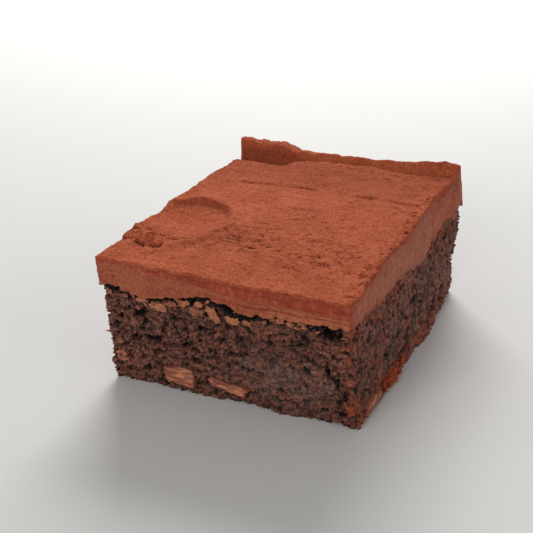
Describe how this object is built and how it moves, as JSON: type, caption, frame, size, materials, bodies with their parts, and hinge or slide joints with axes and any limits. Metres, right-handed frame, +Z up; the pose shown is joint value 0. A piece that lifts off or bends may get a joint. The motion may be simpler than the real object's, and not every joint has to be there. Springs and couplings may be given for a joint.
{
  "type": "chocolate brownie",
  "caption": "Square-cut fudgy chocolate brownie with a ganache layer, a cocoa-dusted top and chopped chocolate in its cut sides.",
  "frame": {"origin": "middle of the footprint, on the face the brownie rests on", "axes": "+X to the right along the front cut, +Y from the front cut to the back, +Z up"},
  "size_m": [0.0728, 0.083, 0.041],
  "materials": {
    "crumb": null,
    "ganache": null,
    "cocoa": null,
    "chocolate": null
  },
  "bodies": {
    "root": {"crumb": "crumb", "ganache": "ganache", "cocoa_dusting": "cocoa", "chunk_front_a": "chocolate", "chunk_front_b": "chocolate", "chunk_left_corner": "chocolate", "chunk_side_a": "chocolate", "cocoa_clump_side": "cocoa"}
  },
  "joints": []
}
